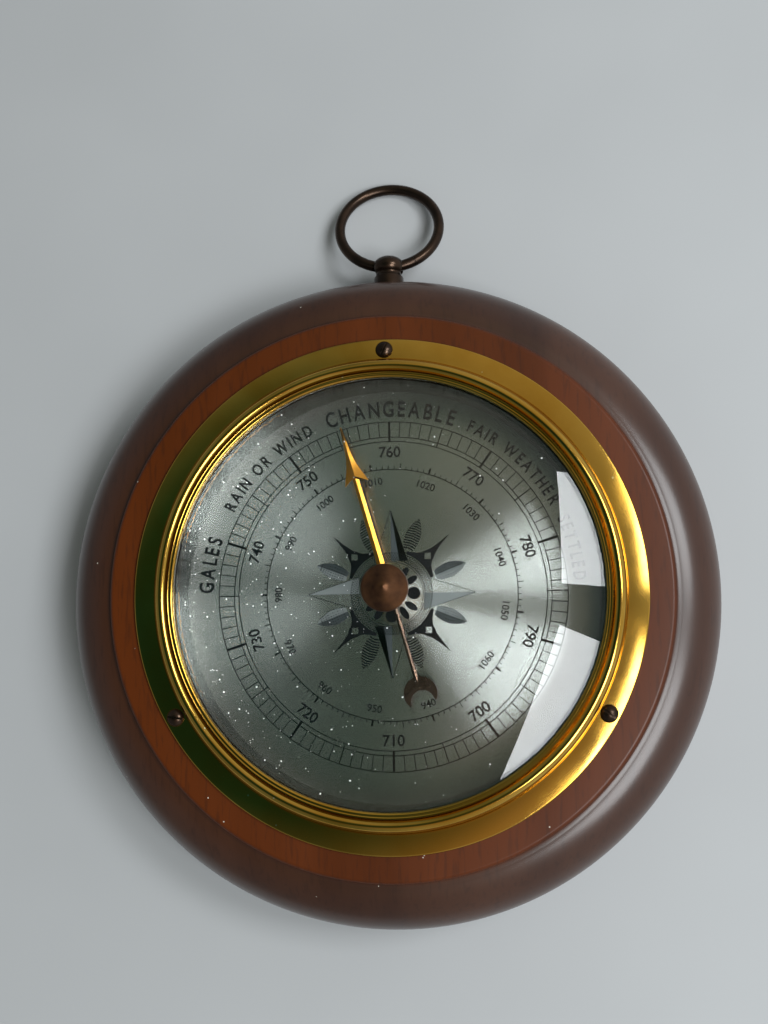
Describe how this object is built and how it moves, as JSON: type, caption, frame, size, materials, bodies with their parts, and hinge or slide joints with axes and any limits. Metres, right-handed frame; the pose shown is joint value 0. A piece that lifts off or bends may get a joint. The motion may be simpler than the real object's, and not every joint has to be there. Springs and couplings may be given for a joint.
{
  "type": "aneroid wall barometer",
  "caption": "Round aneroid wall barometer: turned wooden base, brass bezel, domed glass, silvered dial, set hand with knob, and a hanging ring.",
  "frame": {"origin": "centre of the flat back, in line with the pointer's axis", "axes": "+Z out of the dial, +Y toward the hanging ring, +X to the right of the dial"},
  "size_m": [0.185, 0.223, 0.0491],
  "materials": {
    "stained_wood": "mahogany stain under satin varnish",
    "can_metal": "plain spun sheet",
    "polished_brass": "polished and lacquered",
    "plain_brass": "bright machined",
    "gilt_brass": "gilt",
    "dark_bronze": "dark bronzed",
    "copper_patina": "brown copper patina",
    "plain_steel": "plain machined",
    "blued_steel": "blued",
    "capsule_metal": "nickel silver sheet",
    "silvered_dial": "spun, silvered, printed in black",
    "black_rubber": "matte",
    "clear_glass": "clear domed"
  },
  "bodies": {
    "case": {"wood_base": "stained_wood", "case_can": "can_metal", "bezel": "polished_brass", "bezel_screws": "dark_bronze", "glass": "clear_glass", "glass_gasket": "black_rubber", "dial_ring": "silvered_dial", "dial_plate": "silvered_dial", "dial_posts": "plain_brass", "movement_plate": "plain_brass", "movement_screws": "plain_steel", "capsule_lower": "capsule_metal", "capsule_upper": "capsule_metal", "lever_brackets": "plain_brass", "rocking_brackets": "plain_brass", "fine_chain": "plain_steel", "lower_pillars": "plain_brass", "arbor_cock": "plain_brass", "upper_pillars": "plain_brass", "arbor_bridge": "plain_brass", "bridge_screws": "plain_steel", "hairspring": "blued_steel", "hairspring_stud": "plain_brass", "hanger_eye": "dark_bronze"},
    "ring": {"hanging_ring": "dark_bronze"},
    "set_hand": {"set_knob": "copper_patina", "set_spindle": "plain_brass", "knob_washer": "black_rubber", "spindle_collar": "plain_brass", "set_hand": "gilt_brass"},
    "pointer": {"arbor": "plain_steel", "chain_drum": "plain_brass", "hand_collet": "plain_brass", "indicating_hand": "dark_bronze"},
    "rocker": {"rocking_shaft": "plain_steel", "long_arm": "plain_brass", "short_arm_plate": "plain_brass"},
    "lever": {"main_lever": "plain_steel", "lever_axle": "plain_steel"},
    "link": {"link_rod": "plain_steel"},
    "post": {"capsule_post": "plain_brass"},
    "adjuster": {"adjusting_screw": "plain_brass"}
  },
  "joints": [
    {"name": "ring_swing", "type": "hinge", "parent": "case", "child": "ring", "pos_m": [0, 0.0997, 0.0115], "axis": [1, 0, 0], "range_deg": [-65, 135]},
    {"name": "set_hand_turn", "type": "hinge", "parent": "case", "child": "set_hand", "pos_m": [0, 0, 0.027], "axis": [0, 0, 1], "continuous": true},
    {"name": "pointer_turn", "type": "hinge", "parent": "case", "child": "pointer", "pos_m": [0, 0, 0.014], "axis": [0, 0, 1], "range_deg": [-125, 199], "stiffness_Nm_per_rad": 0.0005, "deforming": ["fine_chain", "hairspring", "capsule_upper"]},
    {"name": "rocker_tilt", "type": "hinge", "parent": "case", "child": "rocker", "pos_m": [0, 0.023, 0.0052], "axis": [1, 0, 0], "range_deg": [-27.5, 17.5]},
    {"name": "lever_tilt", "type": "hinge", "parent": "case", "child": "lever", "pos_m": [0, -0.026, 0.0104], "axis": [1, 0, 0], "range_deg": [-1.6, 2.5]},
    {"name": "link_travel", "type": "slide", "parent": "case", "child": "link", "axis": [0, 0, 1], "range_m": [-0.00125, 0.00195]},
    {"name": "post_travel", "type": "slide", "parent": "case", "child": "post", "axis": [0, 0, 1], "range_m": [-0.0004, 0.00062]},
    {"name": "adjusting_screw_turn", "type": "hinge", "parent": "case", "child": "adjuster", "pos_m": [0, -0.012, 0.001], "axis": [0, 0, 1], "range_deg": [-180, 180]}
  ],
  "couplings": [
    {"joint": "rocker_tilt", "follows": "pointer_turn", "ratio": -0.13636},
    {"joint": "lever_tilt", "follows": "pointer_turn", "ratio": 0.012121},
    {"joint": "link_travel", "follows": "pointer_turn", "m_per_rad": 0.00054545},
    {"joint": "post_travel", "follows": "pointer_turn", "m_per_rad": 0.0001697}
  ]
}
